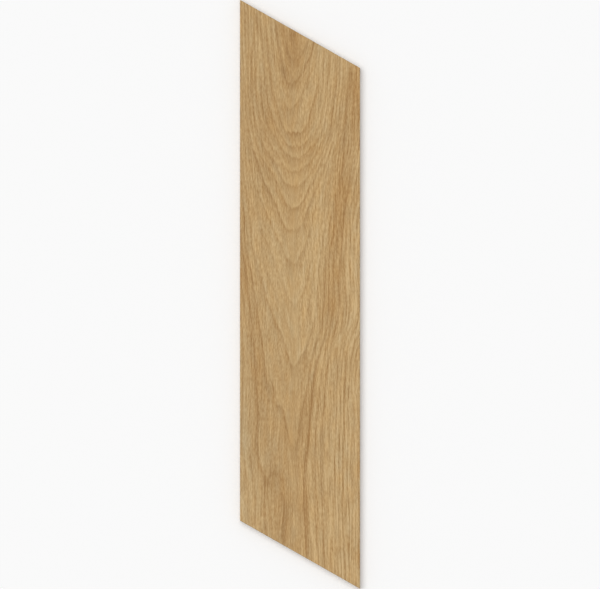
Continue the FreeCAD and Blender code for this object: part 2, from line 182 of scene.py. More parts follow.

# Single dark streaks: their strength, their width and points given along them
DARK_STREAKS = [
    (1.6, 2.6, (3.5, 3), (5, 14), (6.6, 29), (7, 40)), (4, 1.8, (16.4, 11), (17.2, 24), (17.6, 36)),
    (1.3, 1.7, (36, 22), (36.6, 36), (39.8, 50), (44, 70), (46, 78)),
    (1.8, 2.2, (35.6, 22), (37, 32), (39.4, 44)), (1.8, 2, (47, 42), (46.6, 50), (47.6, 58)),
    (0.8, 2.8, (46.4, 46), (48.6, 54), (53, 58.5), (58, 55.5), (62, 49), (65, 42)),
    (1.6, 4, (43.6, 64), (45.4, 74), (48.5, 80)), (1.3, 2.6, (51, 85), (57, 79), (61.5, 72)),
    (4, 1.9, (74.2, 38), (73, 49), (70, 57.5), (66.4, 64.5), (63.4, 74)),
    (1.9, 1.6, (11.6, 42), (11.4, 60), (11.3, 78), (11, 98)),
    (1.8, 1.6, (27.8, 50), (29.6, 66), (31.4, 80), (33, 90)), (1.8, 1.7, (34, 127), (36, 134), (38, 141)),
    (1.9, 2.8, (46, 131), (55, 133.5), (63, 131)), (1.6, 1.6, (65, 127), (71, 110), (73.5, 93)),
    (2.8, 1.6, (96, 74), (95.5, 90), (93.8, 106), (92, 118), (90.6, 131), (88.5, 143)),
    (1.8, 1.8, (110.6, 66), (109.6, 80), (107.9, 98), (106.7, 114), (104.8, 130), (103, 145), (100.8, 158)),
    (0.9, 1.7, (116.3, 70), (115.4, 82), (113.6, 97), (114, 108)),
    (0.9, 1.4, (1, 132), (1.4, 160), (2.2, 176)), (1.3, 1.5, (1.8, 180), (1.8, 200)),
    (1.6, 1.8, (3.8, 208), (4.9, 222), (5, 236)), (0.9, 1.3, (1.5, 226), (1.6, 247)),
    (4.2, 1.5, (12.8, 147), (16.2, 158), (20.3, 171), (23.6, 179)),
    (1.5, 1.9, (21.6, 175), (26, 186), (31, 195), (34, 201)), (2, 1.4, (32.8, 156), (33.4, 168)),
    (1, 1.5, (41.5, 194), (45, 201), (49, 207), (55, 208)),
    (0.8, 1.9, (41, 180), (47, 185), (54, 187), (59, 184)),
    (1.1, 1.5, (55, 208), (63.5, 201), (68.5, 190), (71.5, 184)), (1.3, 1.3, (74, 188), (73.3, 199)),
    (0.8, 1.5, (72.5, 199), (68.3, 209), (64.2, 218), (60.5, 225)),
    (1.7, 1.7, (39.4, 212), (43.3, 223), (47, 229), (54, 230.5), (59, 228)),
    (1.2, 1.4, (19, 214), (20.4, 227), (22.9, 235), (24.4, 243)),
    (0.9, 2.2, (45.5, 253), (47, 260), (51, 263), (56.5, 265)),
    (1.8, 1.5, (71.2, 258), (68.6, 272), (67.2, 287)),
    (2.6, 1.6, (105, 148), (103.4, 161), (101.8, 175), (100.8, 188), (99.2, 201)),
    (2, 1.6, (100.2, 167), (98.5, 180), (97.2, 190), (96.2, 200), (95.8, 210)),
    (2.5, 2, (96.8, 203), (95.7, 214), (94.5, 225), (93, 236), (91.4, 249)),
    (2.4, 1.8, (110.8, 168), (109.2, 178), (107.8, 189), (105.8, 201), (104.1, 214), (102.9, 228),
        (101.9, 244)),
    (0.9, 1.8, (102.4, 238), (101, 254), (99.6, 266), (98.9, 280), (99.2, 294), (98.5, 308)),
    (1.6, 1.5, (86.2, 252), (85.3, 264), (84.4, 280), (84.3, 298), (82.8, 314)),
    (1.2, 1.9, (3.3, 252), (6, 270), (8, 285)), (2.4, 1.6, (9, 262), (12.5, 279), (16, 293)),
    (1.4, 1.6, (8.5, 294), (10.4, 310), (12.3, 325), (14, 338)),
    (2, 1.9, (13.8, 335), (14.8, 352), (16.4, 370), (17.9, 390)),
    (1.7, 1.9, (17.6, 385), (18.6, 407), (19, 421), (17.9, 438)),
    (2.3, 1.5, (16.2, 294), (17.6, 307), (19.5, 325), (21.6, 340), (23.1, 352)),
    (1, 1.5, (24, 356), (26.6, 372), (30.4, 382)), (5, 1.7, (30.6, 376), (32.4, 385), (34, 392), (35, 402)),
    (1.3, 2.4, (34.5, 400), (37, 407), (41.5, 408)),
    (1.7, 1.9, (41.4, 404), (43.4, 415), (46, 426), (48.4, 436)),
    (1.2, 1.8, (28, 299), (31, 309), (35, 319), (38.5, 327), (40, 335)),
    (1.2, 1.5, (43.2, 340), (46.9, 354), (50.7, 363)),
    (0.8, 1.9, (55, 367), (60, 358), (65, 350.5), (67.5, 344)), (0.9, 1.1, (51.2, 360), (51.6, 384)),
    (1, 1.1, (34, 362), (34.2, 379)), (1.9, 1.6, (68, 303), (67, 320), (67.5, 332)),
    (2.4, 2.6, (80, 350), (76.8, 361), (74.2, 374), (72.4, 388), (70.8, 403), (69, 420), (67.6, 438),
        (65.2, 452), (64, 468)),
    (0.9, 1.9, (64, 396), (61.6, 408), (59.8, 418), (58.4, 428), (57, 440)),
    (1.5, 1.7, (84, 298), (82.6, 314), (80.2, 328), (77.5, 338)),
    (0.9, 1.7, (89.2, 293), (88.5, 310), (86.7, 325), (84.6, 336), (81.5, 346), (78.5, 353)),
    (1.2, 1.7, (99, 292), (98.5, 307)), (1.3, 1.7, (98.3, 310), (96.6, 324), (93.5, 334), (90.5, 342)),
    (1.4, 3.2, (104.7, 294), (106, 306), (104.7, 318)), (1.6, 1.4, (88, 358), (86.8, 370), (85.4, 384)),
    (1.6, 1.4, (84, 400), (83.2, 420)), (1.6, 1.5, (82.6, 418), (81.3, 432), (80.3, 446)),
    (0.9, 1.4, (82, 366), (80.6, 384), (78.6, 402)),
    (1.8, 1.3, (100.4, 352), (98, 363), (96.8, 376), (96.6, 392)),
    (1.5, 1.3, (105.2, 364), (104.8, 382), (103.4, 402)), (2.2, 1.5, (103.7, 398), (103.3, 418)),
    (4.8, 1.3, (108.6, 383), (108.4, 402)), (1, 1.3, (116.2, 339), (113.4, 350), (111, 361), (110, 372)),
    (1, 1.5, (120, 330.5), (116.8, 337.5), (113.8, 347)),
    (1.4, 1.4, (119.9, 344), (117.4, 352.5), (114.8, 361.5)), (0.9, 1.3, (118.7, 392), (118.5, 434)),
    (1.6, 1.3, (112.5, 398), (112.4, 424)), (1.5, 1.7, (17, 440), (18.6, 450), (19.2, 460)),
    (2, 2.4, (20.8, 463), (22.6, 472), (24.4, 480), (25, 490)),
    (2, 4.4, (24, 492), (26.5, 482), (30.5, 475.5), (35, 474), (38.8, 480), (41, 491)),
    (4.6, 4, (41, 489), (43, 498), (44.8, 506), (44.6, 516), (43.8, 526), (42.8, 535), (41.8, 548)),
    (1, 2.6, (23.5, 474), (25, 486), (25.2, 500)), (1.3, 2.2, (28.4, 478), (28.2, 488)),
    (2.3, 1.6, (25.6, 490), (25.1, 503), (25.6, 518), (26.5, 534)), (1.5, 1.5, (1.7, 474), (1.7, 496)),
    (2.8, 1.4, (9, 440), (9.4, 450), (11.2, 463), (13.4, 478), (15.4, 491), (16.8, 508)),
    (2.2, 1.9, (15.4, 514), (14.4, 528)), (1, 2.3, (65.4, 448), (64.2, 462), (63.2, 476)),
    (1.5, 2.6, (62.6, 498), (63.4, 512), (64.8, 524), (65.6, 534), (66, 546), (66.4, 557)),
    (1.6, 1.8, (57.4, 436), (56.4, 452), (56.8, 470), (58, 486), (58.2, 502)),
    (1.8, 1.4, (74.8, 440), (73.7, 467), (74, 490)),
    (1.5, 1.5, (74.2, 486), (74.8, 506), (76, 536), (77.4, 552)),
    (1.9, 1.5, (80.5, 438), (81, 467), (81.6, 494), (82.2, 510)),
    (1, 1.6, (81.6, 518), (82.8, 537), (83.7, 560)), (1, 1.3, (94.8, 478), (94.8, 500)),
    (1.4, 1.2, (103.6, 424), (103.2, 445), (103, 470), (102.9, 496)),
    (1.8, 1.2, (102.5, 492), (102.3, 510), (103.2, 530)),
    (1.6, 1.3, (103.6, 540), (104.4, 560), (105.6, 576)), (1, 1.3, (110.9, 462), (110.5, 482)),
    (0.8, 1.3, (98.6, 455), (98.5, 480)), (1.2, 1.5, (118.9, 440), (118.8, 540), (118.8, 580)),
    (2.2, 2.4, (70, 98), (69, 110), (66, 118)), (1.8, 2.4, (110, 140), (108, 152), (105, 162)),
    (1.5, 2, (12.9, 100), (14.4, 116), (16.4, 126)), (1.8, 2.6, (95, 206), (92.6, 218), (90.6, 230)),
    (0.8, 2.2, (6, 252), (9, 264), (12, 276)), (0.9, 2, (72, 358), (69.5, 368), (67, 378)),
    (1.2, 2.4, (37, 404), (40, 414)), (1, 2.4, (41, 492), (41.8, 506)),
    (1.5, 1.2, (108.6, 404), (108.5, 438)), (1.2, 1.2, (107.9, 446), (107.3, 480)),
    (1.3, 1.2, (112.2, 430), (111, 452), (110.6, 474)), (1.3, 1.1, (94.2, 450), (94.3, 470), (94.6, 490)),
    (1.1, 1.1, (100.8, 415), (99.6, 438), (98.7, 456)), (1.2, 1.1, (96.5, 404), (96.2, 420)),
    (3.4, 1.2, (86.9, 446), (87, 462)), (1, 1.1, (88.4, 424), (88.4, 440)),
    (0.8, 1.2, (118.9, 460), (118.9, 480)), (1.2, 1.1, (114.4, 438), (114.4, 454)),
    (1.1, 1.1, (98.8, 500), (98.7, 520)), (1.2, 1.1, (105.8, 495), (106.4, 512)),
    (1.4, 1.2, (107.6, 530), (108.4, 548), (108.6, 562)), (2.2, 1.2, (111, 534), (111.4, 548), (112, 564)),
    (1.3, 1.1, (112.8, 500), (112.8, 520)), (2.6, 1, (114.4, 544), (114.4, 560)),
    (2, 1.2, (90, 552), (90.6, 572)), (1.4, 1.3, (118.2, 550), (118.3, 574)),
    (1.9, 1.1, (97.4, 545), (97.4, 562)), (2, 1.1, (100.6, 544), (101, 562)),
    (1.2, 1.3, (8.4, 486), (8.6, 508)),
]

# The same for the pale streaks
LIGHT_STREAKS = [
    (3.6, 1.6, (19.6, 36), (19.2, 56), (18.6, 76), (17.6, 96)),
    (1.9, 2.2, (27.6, 20), (28.6, 34), (30.4, 48)), (1.9, 2.4, (33.6, 60), (36, 74), (38.6, 90), (42, 106)),
    (1.9, 1.5, (42.8, 46), (43.2, 60)), (2, 3.6, (49, 92), (53, 93.5), (58, 90)),
    (1.3, 2.4, (44, 56), (47.5, 65), (52, 71), (57.5, 69.5), (63, 61), (67, 53)),
    (1.9, 3.4, (67, 88), (64.5, 104), (60.5, 116), (55, 124)), (1, 1.8, (61.5, 36), (60, 50)),
    (1.6, 2.2, (102.6, 58), (103, 70), (104, 84)), (2.8, 1.4, (95, 128), (94.4, 150)),
    (1.1, 1.4, (14.8, 172), (16.8, 190)), (1.2, 1.9, (29.6, 224), (32.4, 236), (35.4, 244), (36.6, 255)),
    (2.1, 1.9, (56.6, 172), (56.6, 184)), (2.3, 3.0, (70, 236), (67.4, 252), (64.2, 268), (61, 290)),
    (2, 1.3, (83, 222), (81.4, 238)), (1.6, 1.4, (80.2, 250), (76.7, 272), (75.4, 296)),
    (1.8, 1.5, (80, 266), (79.6, 285), (79, 304), (78.4, 322)), (1.8, 1.4, (90.3, 155), (89, 170)),
    (1.6, 1.6, (106.6, 256), (107, 276), (108, 292), (109.4, 306)), (2.1, 1.5, (10.6, 250), (16, 277)),
    (2, 1.6, (3.8, 316), (4.8, 330), (6.2, 348), (7.9, 367)),
    (2.1, 1.7, (7.8, 362), (8.6, 388), (7.9, 404), (7.2, 422), (5.4, 440)),
    (2.2, 1.5, (22, 300), (24.2, 314)), (1.1, 1.9, (27, 342), (29.7, 364), (31.6, 380)),
    (1.9, 2, (30.2, 398), (30.6, 418), (30, 440)), (1.5, 1.8, (38.7, 422), (38.7, 438)),
    (0.8, 1.8, (39.4, 384), (40, 402)), (1.4, 1.7, (74.8, 292), (75.6, 312), (76, 332), (74.6, 348)),
    (1.1, 1.8, (55.2, 310), (56, 332), (57, 352), (56, 365)), (1.2, 1.6, (64.6, 303), (64.2, 324)),
    (2.4, 2.2, (82.6, 347), (79.9, 365), (78, 380), (76.2, 397)),
    (2.4, 2.3, (76.4, 393), (74, 413), (71.8, 432), (70.6, 446)),
    (2, 1.5, (112.4, 256), (112.6, 276), (114, 290), (116, 302), (114.6, 314), (110.5, 324), (107, 334)),
    (5, 2, (100.7, 333), (95.7, 351)),
    (2.4, 1.3, (98.6, 376), (98.4, 400), (98, 424), (97.2, 437), (96.7, 450)),
    (0.9, 1.5, (92.4, 362), (92, 398)), (0.8, 3.4, (52.4, 392), (52.4, 432)),
    (2.3, 1.4, (19.4, 468), (19.8, 482), (20, 498)), (1.2, 1.4, (3.4, 464), (3.6, 482)),
    (2, 2.2, (48.4, 447), (50.4, 462), (52.6, 480), (53, 498)), (2.2, 2.3, (54, 510), (54.7, 532)),
    (3, 2.4, (69.9, 440), (70.5, 461), (70.8, 480), (70.5, 500)),
    (2.7, 2.6, (70.5, 495), (71, 517), (72.7, 536), (74.6, 554), (75.4, 566)),
    (2, 1.3, (96.8, 444), (96.8, 470), (96.8, 496), (97.2, 524), (97.9, 536)),
    (1.1, 1.6, (88.6, 458), (88.6, 484)), (3.6, 1.8, (22, 514), (22.4, 530)),
    (0.8, 2.2, (5, 138), (8, 152), (12, 166)), (0.7, 2, (14, 60), (14, 82)),
    (1, 2.2, (14, 400), (14.4, 420), (13.8, 442)), (0.9, 2.2, (8, 464), (10.5, 480)),
    (2, 2.2, (68.4, 455), (67.6, 475), (67.4, 495)), (3.4, 1.8, (69.4, 505), (70.9, 525), (72.3, 545)),
    (1.8, 1.2, (110.5, 412), (110.4, 432), (109.8, 450), (109.2, 466), (108.4, 490)),
    (1.2, 1.2, (106.4, 426), (106.2, 464)), (1.4, 1.2, (116.4, 410), (116.3, 440)),
    (2, 1.1, (101.4, 472), (101.6, 496)), (1.2, 1.1, (101.9, 416), (101, 436)),
    (1.3, 1.2, (86.8, 420), (86.4, 440)), (1.1, 1.3, (85.4, 466), (86.6, 496)),
    (4, 1.2, (90.6, 460), (90, 478)), (5, 1.3, (89.2, 494), (90.3, 512), (90.5, 542)),
    (4.6, 1.2, (91.6, 548), (93.2, 562), (93.8, 572)), (5, 1.2, (99, 552), (99.5, 566), (99.8, 577)),
    (1.5, 1.2, (101.4, 516), (102.2, 550), (103.2, 572)),
    (1.3, 1.2, (104.8, 520), (105.2, 546), (106.4, 560)),
    (1.4, 1.3, (107.4, 500), (108.5, 523), (108.8, 540)), (2.4, 1.3, (110.4, 544), (110.2, 566)),
    (1.9, 1.2, (114.6, 500), (114.7, 518)), (1.2, 1.1, (111.6, 502), (111.7, 518)),
    (1.4, 1.4, (107.8, 564), (108, 580)), (1.3, 1.2, (83.7, 504), (83.6, 520)),
    (1.2, 1.3, (85.4, 538), (85.8, 562)), (1.2, 1.3, (79, 540), (79.6, 556)),
    (2.6, 1.2, (1.8, 490), (1.8, 516)), (1.9, 1.2, (13.4, 496), (13.4, 516)),
    (1.4, 1.2, (11.7, 494), (11.6, 516)),
]

# Soft oval patches of tone: the amount, the middle's x and y, and the reach across and along
SHADES = [
    (-1.8, 53, 36, 5, 7), (-1.4, 45, 73, 3.5, 8), (-1.1, 51, 82, 5, 4), (-1.6, 52, 50, 10, 34),
    (-0.5, 53, 56, 7, 9), (0.7, 82, 80, 12, 45), (-1.7, 114, 98, 8, 38), (-0.8, 20, 105, 14, 42),
    (0.35, 63, 105, 8, 22), (-0.8, 26, 165, 7, 34), (-0.4, 50, 145, 14, 16), (-1.2, 105, 148, 7, 32),
    (-1.5, 101, 213, 7, 32), (0.5, 82, 190, 7, 34), (0.4, 58, 192, 8, 22), (-0.9, 1, 215, 5, 42),
    (1.15, 77, 246, 10, 45), (0.7, 52, 242, 6, 12), (1.0, 37, 265, 10, 42), (1.2, 58, 303, 12, 41),
    (-1.0, 93, 257, 9, 34), (-1.1, 91, 309, 10, 28), (1.05, 113, 266, 9, 38), (2, 116.4, 308, 4, 11),
    (-1.45, 3, 276, 7, 34), (0.35, 18, 275, 8, 24), (-0.85, 12, 322, 6.5, 34), (-1.1, 17, 375, 8, 40),
    (-0.8, 18, 425, 7, 34), (-0.6, 46, 435, 13, 40), (-1.15, 69, 415, 9, 36), (-1.1, 64, 505, 7, 45),
    (-1.4, 31, 483, 10, 14), (-1.1, 40, 520, 8, 28), (0.9, 5, 505, 12, 40), (0.35, 5, 440, 6, 34),
    (0.8, 92, 435, 9, 55), (0.5, 91, 540, 9, 40), (0.5, 108, 568, 14, 15), (0.8, 112, 432, 10, 76),
    (0.8, 117, 560, 7, 42), (0.35, 116, 470, 5, 14), (0.4, 114, 200, 5, 18), (0.35, 31, 445, 7, 14),
    (0.35, 116, 322, 5, 12), (-0.35, 68, 50, 6, 9), (0.45, 110, 340, 9, 20), (0.3, 62, 238, 9, 15),
    (-0.35, 36, 112, 11, 24), (0.4, 18, 182, 6, 18), (0.4, 78, 112, 6, 15), (-0.35, 89, 142, 5, 14),
    (-0.4, 4, 108, 6, 22), (0.35, 115, 336, 6, 15), (-0.4, 115, 438, 6, 14), (0.25, 60, 382, 10, 12),
    (-0.3, 85, 488, 10, 22),
]

# The same for how warm the colour is
WARMTH = [
    (1.8, 54, 50, 9, 28), (1.5, 117, 85, 8, 40), (2.2, 100, 200, 8, 34), (1.4, 93, 290, 9, 48),
    (1.1, 5, 280, 7, 34), (1.0, 17, 370, 7, 34), (0.9, 60, 430, 13, 32), (0.9, 63, 520, 8, 40),
    (0.3, 40, 500, 14, 34), (0.7, 31, 118, 8, 28), (-1.6, 3, 440, 8, 80), (-0.7, 118, 308, 6, 20),
    (-0.5, 113, 345, 8, 20), (-0.4, 45, 262, 34, 26), (-0.3, 80, 80, 8, 44), (-0.5, 58, 330, 12, 24),
    (-0.5, 100, 450, 14, 40), (-0.3, 110, 540, 14, 50), (0.7, 64, 160, 28, 80), (0.7, 80, 372, 9, 48),
    (0.6, 112, 190, 12, 60), (0.4, 90, 530, 18, 50), (-0.45, 5, 40, 9, 40), (-0.4, 8, 158, 12, 32),
    (-0.6, 4, 328, 6, 34), (-0.35, 16, 350, 8, 34), (-0.5, 89, 302, 5, 20), (0.35, 100, 104, 7, 26),
    (0.35, 114, 318, 6, 20), (-0.4, 36, 466, 12, 30), (-0.3, 16, 490, 9, 34), (0.3, 92, 402, 16, 24),
    (-0.35, 30, 160, 7, 22), (0.3, 115, 500, 6, 34),
]

# How dark each growth line is, in the order of their numbers, from line 0
RING_STRENGTHS = (
    0.8, 1.2, 1.2, 0.8, 1.15, 0.95, 1.0, 0.8, 1.1, 1.2, 1.25, 0.8, 0.6, 0.35, 0.95, 1.1, 1.3, 0.8,
    1.2, 0.6, 1.0, 1.0, 1.3, 1.0, 0.8, 0.9, 0.9, 0.8,
)

# The same for where all rings show less or more
RING_CHANGES = [
    (-0.6, 114, 105, 9, 45), (-0.5, 86, 62, 12, 26), (-0.85, 99, 198, 9, 38), (-0.9, 45, 510, 7, 36),
    (-0.4, 30, 479, 9, 12), (-0.45, 54, 60, 13, 24), (-0.6, 55, 450, 9, 12), (-0.5, 6, 490, 8, 38),
    (-0.35, 55, 231, 10, 9), (-0.3, 55, 187, 10, 7), (0.45, 55, 151, 18, 17), (-0.3, 12, 100, 16, 90),
    (-0.25, 12, 330, 14, 100),
]

# The same for how strong the fine lines of the grain are, on top of 1
LINE_STRENGTHS = [
    (-0.5, 48, 100, 26, 110), (-0.45, 42, 330, 24, 240), (0.5, 112, 200, 14, 75), (0.25, 108, 330, 14, 60),
    (-0.27, 10, 260, 20, 240), (0.35, 103, 490, 17, 85),
]

RING_TONE, HALF_RING_TONE = 1.9, 0.55  # of a growth line, and of the fainter line between two
RING_SETS_IN, RING_FADE = 1.3, 5.0  # steps over which a ring's dark line sets in, and fades
RING_PALE = 0.6  # how pale a wide ring ends, for a dark line of 1
NARROW_TONE = 0.55  # the same for narrow rings, dark and pale
WIDE_GAP, NARROW_GAP = 8, 5  # steps between two lines where rings are wide, and narrow
RING_DRIFT = 0.12  # how far a ring wanders, as a share of the gap to the next
DARK_TONE, LIGHT_TONE = -0.45, 0.42  # of a streak with a strength of 1
STREAK_END = 9.0  # steps over which a streak's end fades, at most
STREAK_SHAKE, RING_SHAKE = 0.6, 0.8  # how ragged their edges are, in steps along the grain

# Fibre noise of the print, each layer as its share of the tone, its seed, the fibres' length
# and width in steps, and how evenly they are spaced
FIBRE_LAYERS = [
    (0.2, 7, 6, 0, 0),
    (0.22, 8, 12, 0.5, 0.9),
    (0.15, 9, 38, 0.85, 0.9),
    (0.06, 10, 40, 3, 0),
]
RAGGED_SEED, WARMTH_SEED, DRIFT_SEED, HALF_RING_SEED, BEVEL_SEED = 12, 13, 16, 19, 21
WARM_PATCHES, WARM_FIBRES = 1.6, 0.75  # how much of the warmth comes from each

# Oak colours, in 0 to 255 steps, from the darkest grain to the palest, each at its tone
OAK = [
    (-4.0, (151, 113, 64)), (-2.0, (166, 130, 81)), (0.0, (180, 146, 97)),
    (1.5, (191, 159, 109)), (3.0, (202, 171, 122)),
]
TONE_REACH = 5.0  # the ramp runs from minus this tone to plus this tone
WARM_TINT = (0.016, 0.001, -0.027)  # what one step of warmth adds to the colour, as a share
HAIR_WAVES, HAIR_TONE = (1200, 27, 1), 1.7  # waves per metre across and along the fibres
FLECK_WAVES, FLECK_TONE = (1300, 250, 1), 1.8
WEAR_TONE = 0.4  # how much paler the glaze is at the foot of the bevel

# Colours of the bare body's grains, of its clouds, and of what lies on it
BODY = [
    (0.3, (134, 111, 86)), (0.42, (170, 147, 119)),
    (0.6, (183, 161, 133)), (0.72, (205, 188, 163)),
]
CLOUD = (160, 138, 112)
GRINDING = (206, 190, 166)
ENGOBE = (214, 198, 170)
KILN_WASH = (222, 214, 200)
ENGOBE_FOOT = 9.1 * MM  # the pale layer under the glaze reaches down to this height
ENGOBE_WAVE = 0.08 * MM
ENGOBE_EDGE = 0.05 * MM
RIB_HEIGHT = 0.25 * MM  # above this the kiln wash lies in the recesses, where it is thin

# What each face of the mesh is, its material's slot, and its place on the bake's map: where
# its run starts and how long it is along U, then the same for its height along V
FACE, RIM, BACK, LOWER, RIGHT, UPPER, LEFT = range(7)
SIDES = (LOWER, RIGHT, UPPER, LEFT)
SLANTED_SIDES = (LOWER, UPPER)
MATERIAL_OF = {FACE: 0, RIM: 0, LOWER: 1, RIGHT: 1, UPPER: 1, LEFT: 1, BACK: 2}
MAP_PLACES = {
    FACE: (0.01, 0.98, 0.005, 0.73),
    RIM: (0.01, 0.98, 0.005, 0.73),
    BACK: (0.01, 0.98, 0.75, 0.15),
    RIGHT: (0.01, 0.98, 0.91, 0.02),
    LEFT: (0.01, 0.98, 0.935, 0.02),
    LOWER: (0.01, 0.45, 0.96, 0.02),
    UPPER: (0.51, 0.45, 0.96, 0.02),
}

# Picture size and the tile's middle in it, where one picture pixel is one drawing step
PICTURE_WIDE, PICTURE_HIGH = 600, 589
TILE_MIDDLE = (300.0, 294.25)
CAMERA_HEIGHT = 1.0
FLOOR_WIDTH = 14.0
FLOOR_GAP = 0.2 * MM
FLOOR_COLOUR = (0.97, 0.97, 0.97, 1)
BACKDROP_COLOUR = (0.95, 0.95, 0.95, 1)
WORLD_COLOUR = (1, 1, 1, 1)
WORLD_LIGHT = 0.478
SUN_LIGHT = 1.65
SUN_SPREAD = 50  # a broad sun throws soft shadows
SUN_TILT = (-10, -12, 0)


def srgb(red, green, blue):
    """A colour given in 0 to 255 steps as linear values for a shader."""
    values = []
    for step in (red, green, blue):
        c = step / 255
        values.append(c / 12.92 if c <= 0.04045 else ((c + 0.055) / 1.055) ** 2.4)
    return (*values, 1.0)


# The drawing grid: one column under each column of the face mesh, one row to a step
COLUMN_GAP = (WIDTH - 2 * BEVEL) / FACE_COLUMNS / STEP
FIRST_COLUMN = BEVEL / STEP
COLUMNS = FIRST_COLUMN + COLUMN_GAP * np.arange(FACE_COLUMNS + 1)
ROWS = np.arange(STEPS_LONG + 1.0)
GRID_X, GRID_Y = np.meshgrid(COLUMNS, ROWS)


def ease(t):
    """A smooth way from 0 to 1."""
    t = np.clip(t, 0, 1)
    return t * t * (3 - 2 * t)


def share(value, nothing, full):
    """How far a value has come from one bound to the other, from 0 to 1."""
    return np.clip((value - nothing) / (full - nothing), 0, 1)


def between_cells(grid, column, row, smooth=False):
    """Values between the points of a grid, on straight or on smooth slopes."""
    i, j = column.astype(int), row.astype(int)
    u, v = column - i, row - j
    if smooth:
        u, v = ease(u), ease(v)
    near = grid[j, i] * (1 - u) + grid[j, i + 1] * u
    far = grid[j + 1, i] * (1 - u) + grid[j + 1, i + 1] * u
    return near * (1 - v) + far * v


def look_up(grid, x, y):
    """Values of a drawing grid at places given in steps."""
    column = np.clip((x - FIRST_COLUMN) / COLUMN_GAP, 0, grid.shape[1] - 1.001)
    row = np.clip(y, 0, grid.shape[0] - 1.001)
    return between_cells(grid, column, row)


def curve_through(points, spans=4):
    """A smooth line through given points."""
    p = np.array(points, float)
    p = np.vstack([2 * p[0] - p[1], p, 2 * p[-1] - p[-2]])
    t = np.linspace(0, 1, spans, endpoint=False)[:, None]
    line = []
    for a, b, c, d in zip(p, p[1:], p[2:], p[3:]):
        bend = (2 * a - 5 * b + 4 * c - d) * t**2 + (3 * b - a - 3 * c + d) * t**3
        line.append((2 * b + (c - a) * t + bend) / 2)
    return np.vstack(line + [p[-2]])


def distance_to(line, x, y):
    """Distance to a line, the way on along it to its nearer end, and its length."""
    nearest = np.full(x.shape, np.inf)
    place = np.zeros(x.shape)
    steps = np.diff(line, axis=0)
    lengths = np.hypot(*steps.T)
    passed = 0.0
    for (x0, y0), (dx, dy), n in zip(line, steps, lengths):
        t = np.clip(((x - x0) * dx + (y - y0) * dy) / n**2, 0, 1)
        gap = np.hypot(x - x0 - t * dx, y - y0 - t * dy)
        place = np.where(gap < nearest, passed + t * n, place)
        nearest = np.minimum(gap, nearest)
        passed += n
    return nearest, np.minimum(place, passed - place), passed


def draw_streak(grid, points, strength, width):
    """Add one soft streak that fades out towards both ends."""
    line = curve_through(points)
    reach = 2 * width
    left, right = np.searchsorted(COLUMNS, [line[:, 0].min() - reach, line[:, 0].max() + reach])
    top, bottom = np.searchsorted(ROWS, [line[:, 1].min() - reach, line[:, 1].max() + reach])
    part = (slice(top, bottom), slice(left, right))
    gap, to_end, length = distance_to(line, GRID_X[part], GRID_Y[part])
    ends = ease(to_end / min(0.3 * length, STREAK_END))
    grid[part] += strength * ends * np.exp(-((gap / (0.6 * width)) ** 2))


def all_streaks(ragged):
    """The single dark and pale lines of the print; thin ones are drawn stronger."""
    total = np.zeros(GRID_X.shape)
    for tone, streaks in ((DARK_TONE, DARK_STREAKS), (LIGHT_TONE, LIGHT_STREAKS)):
        for strength, width, *points in streaks:
            draw_streak(total, points, tone * strength * (1 + 1 / width), width)
    return look_up(total, GRID_X, GRID_Y + STREAK_SHAKE * ragged)


def soft_patches(rows):
    """The sum of soft oval patches."""
    total = np.zeros(GRID_X.shape)
    for amount, x, y, across, along in rows:
        total += amount * np.exp(-(((GRID_X - x) / across) ** 2) - ((GRID_Y - y) / along) ** 2)
    return total


def plate(a, b):
    """Bending of a thin plate between two sets of places."""
    square = (a[:, None, 0] - b[None, :, 0]) ** 2 + (a[:, None, 1] - b[None, :, 1]) ** 2
    return 0.5 * square * np.log(square + 1e-9)


def ring_numbers():
    """A smooth field that has each growth line's number all along that line."""
    squeeze = np.array([1, 0.3])  # the grain runs lengthwise, so lengths count for less
    knots = np.array([p for _, *line in GROWTH_LINES for p in line]) * squeeze
    numbers = [number for number, *line in GROWTH_LINES for _ in line]
    n = len(knots)
    system = np.zeros((n + 3, n + 3))
    system[:n, :n] = plate(knots, knots) + np.eye(n)
    system[:n, n] = system[n, :n] = 1
    system[:n, n + 1:] = knots
    system[n + 1:, :n] = knots.T
    weights = np.linalg.solve(system, np.array(numbers + [0, 0, 0], float))
    field = np.empty(GRID_X.shape)
    for j, y in enumerate(ROWS):
        places = np.column_stack([COLUMNS, np.full(len(COLUMNS), y)]) * squeeze
        field[j] = plate(places, knots) @ weights[:n] + weights[n] + places @ weights[n + 1:]
    return field


def grain_run(lines, turn=0.9, cell=6.0, upright_pull=0.004, core=3.0):
    """Unit steps along the fibres, which lean part of the way with the lines drawn near them."""
    x, y = np.meshgrid(np.arange(-cell, STEPS_WIDE + 2 * cell, cell),
                       np.arange(-cell, STEPS_LONG + 2 * cell, cell))
    upright = np.full(x.shape, upright_pull)
    across = np.zeros(x.shape)
    for line in lines:
        for (x0, y0), (x1, y1) in zip(line, line[1:]):
            lean = math.atan2(x1 - x0, y1 - y0)
            square = (x - (x0 + x1) / 2) ** 2 + (y - (y0 + y1) / 2) ** 2
            pull = math.hypot(x1 - x0, y1 - y0) * math.cos(lean) ** 6 / (square + core**2) ** 1.5
            upright += pull * math.cos(2 * lean)
            across += pull * math.sin(2 * lean)
    lean = turn * np.arctan2(across, upright) / 2
    fine = between_cells(lean, (GRID_X + cell) / cell, (GRID_Y + cell) / cell, smooth=True)
    return np.sin(fine), np.cos(fine)


def blurred_across(grid, sigma):
    """A grid blurred sideways, with sigma in steps."""
    sigma /= COLUMN_GAP
    reach = int(3 * sigma) + 1
    weights = np.exp(-0.5 * (np.arange(-reach, reach + 1) / sigma) ** 2)
    padded = np.pad(grid, ((0, 0), (reach, reach)), mode="reflect")
    count = grid.shape[1]
    total = sum(w * padded[:, i:i + count] for i, w in enumerate(weights / weights.sum()))
    return total / total.std()


